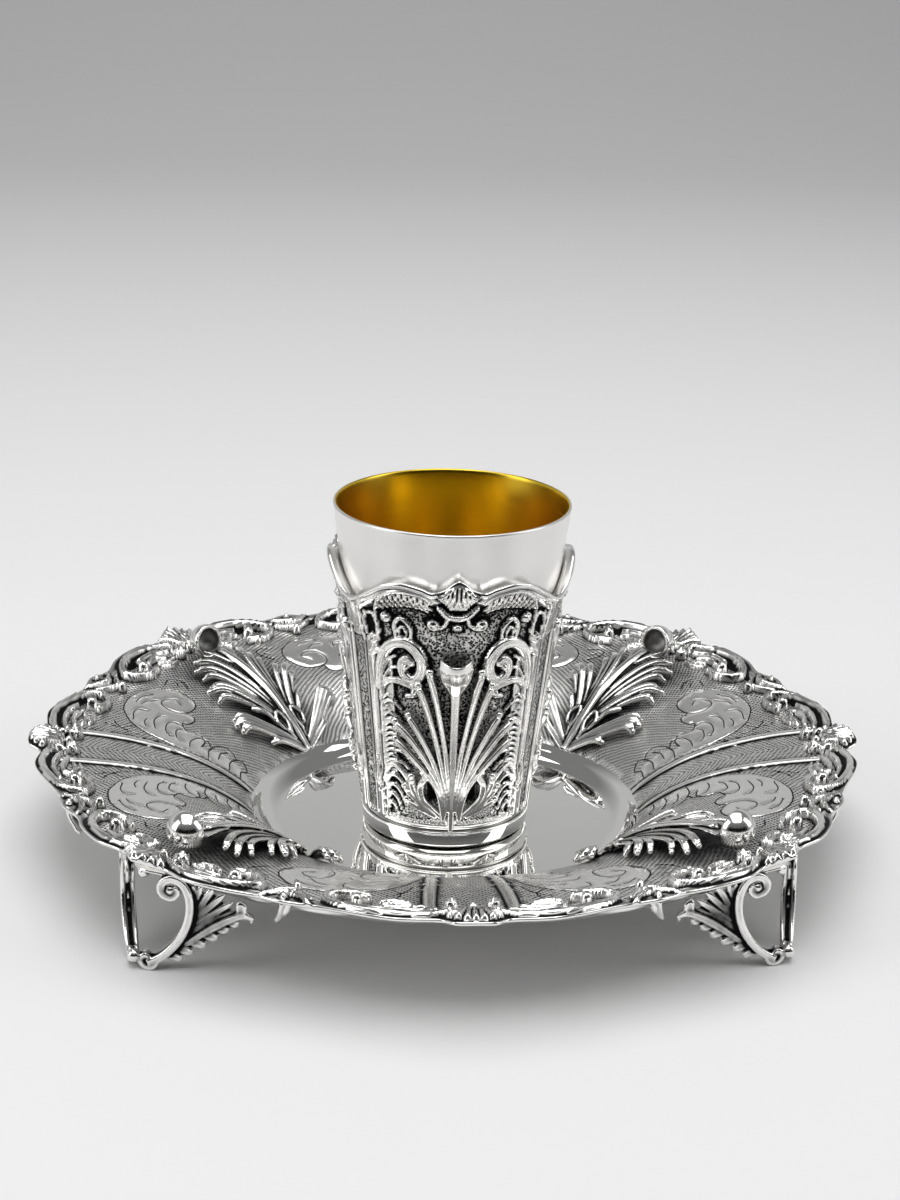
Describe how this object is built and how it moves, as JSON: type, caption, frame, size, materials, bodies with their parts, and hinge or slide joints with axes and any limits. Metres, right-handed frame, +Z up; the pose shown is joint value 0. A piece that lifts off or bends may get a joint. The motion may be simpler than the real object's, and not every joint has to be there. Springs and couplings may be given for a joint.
{
  "type": "kiddush cup with footed saucer",
  "caption": "Tapered silver kiddush cup with gilt inside and chased leaf panels, standing in a wide scalloped saucer on leafy scroll feet.",
  "frame": {"origin": "on the surface that the feet stand on, under the middle of the cup and the saucer", "axes": "+Z up, -Y to the front, where one of the cup's leaf panels and one of the saucer's plain channels face"},
  "size_m": [0.215, 0.215, 0.09],
  "materials": {
    "chased_silver": "sterling silver, chased and hatched, with darkened recesses",
    "polished_silver": "cast sterling silver, bright polished on its high parts and darkened in its recesses",
    "satin_silver": "satin sterling silver outside, gilt and polished inside"
  },
  "bodies": {
    "root": {"saucer_dish": "chased_silver", "saucer_rim": "polished_silver", "saucer_leaf_1": "polished_silver", "saucer_leaf_2": "polished_silver", "saucer_leaf_3": "polished_silver", "saucer_leaf_4": "polished_silver", "saucer_foot_1": "polished_silver", "saucer_foot_2": "polished_silver", "saucer_foot_3": "polished_silver", "saucer_foot_4": "polished_silver", "cup_beaker": "satin_silver", "cup_sleeve": "chased_silver", "cup_base_ring": "polished_silver", "cup_leaf_1": "polished_silver", "cup_leaf_2": "polished_silver", "cup_leaf_3": "polished_silver"}
  },
  "joints": []
}
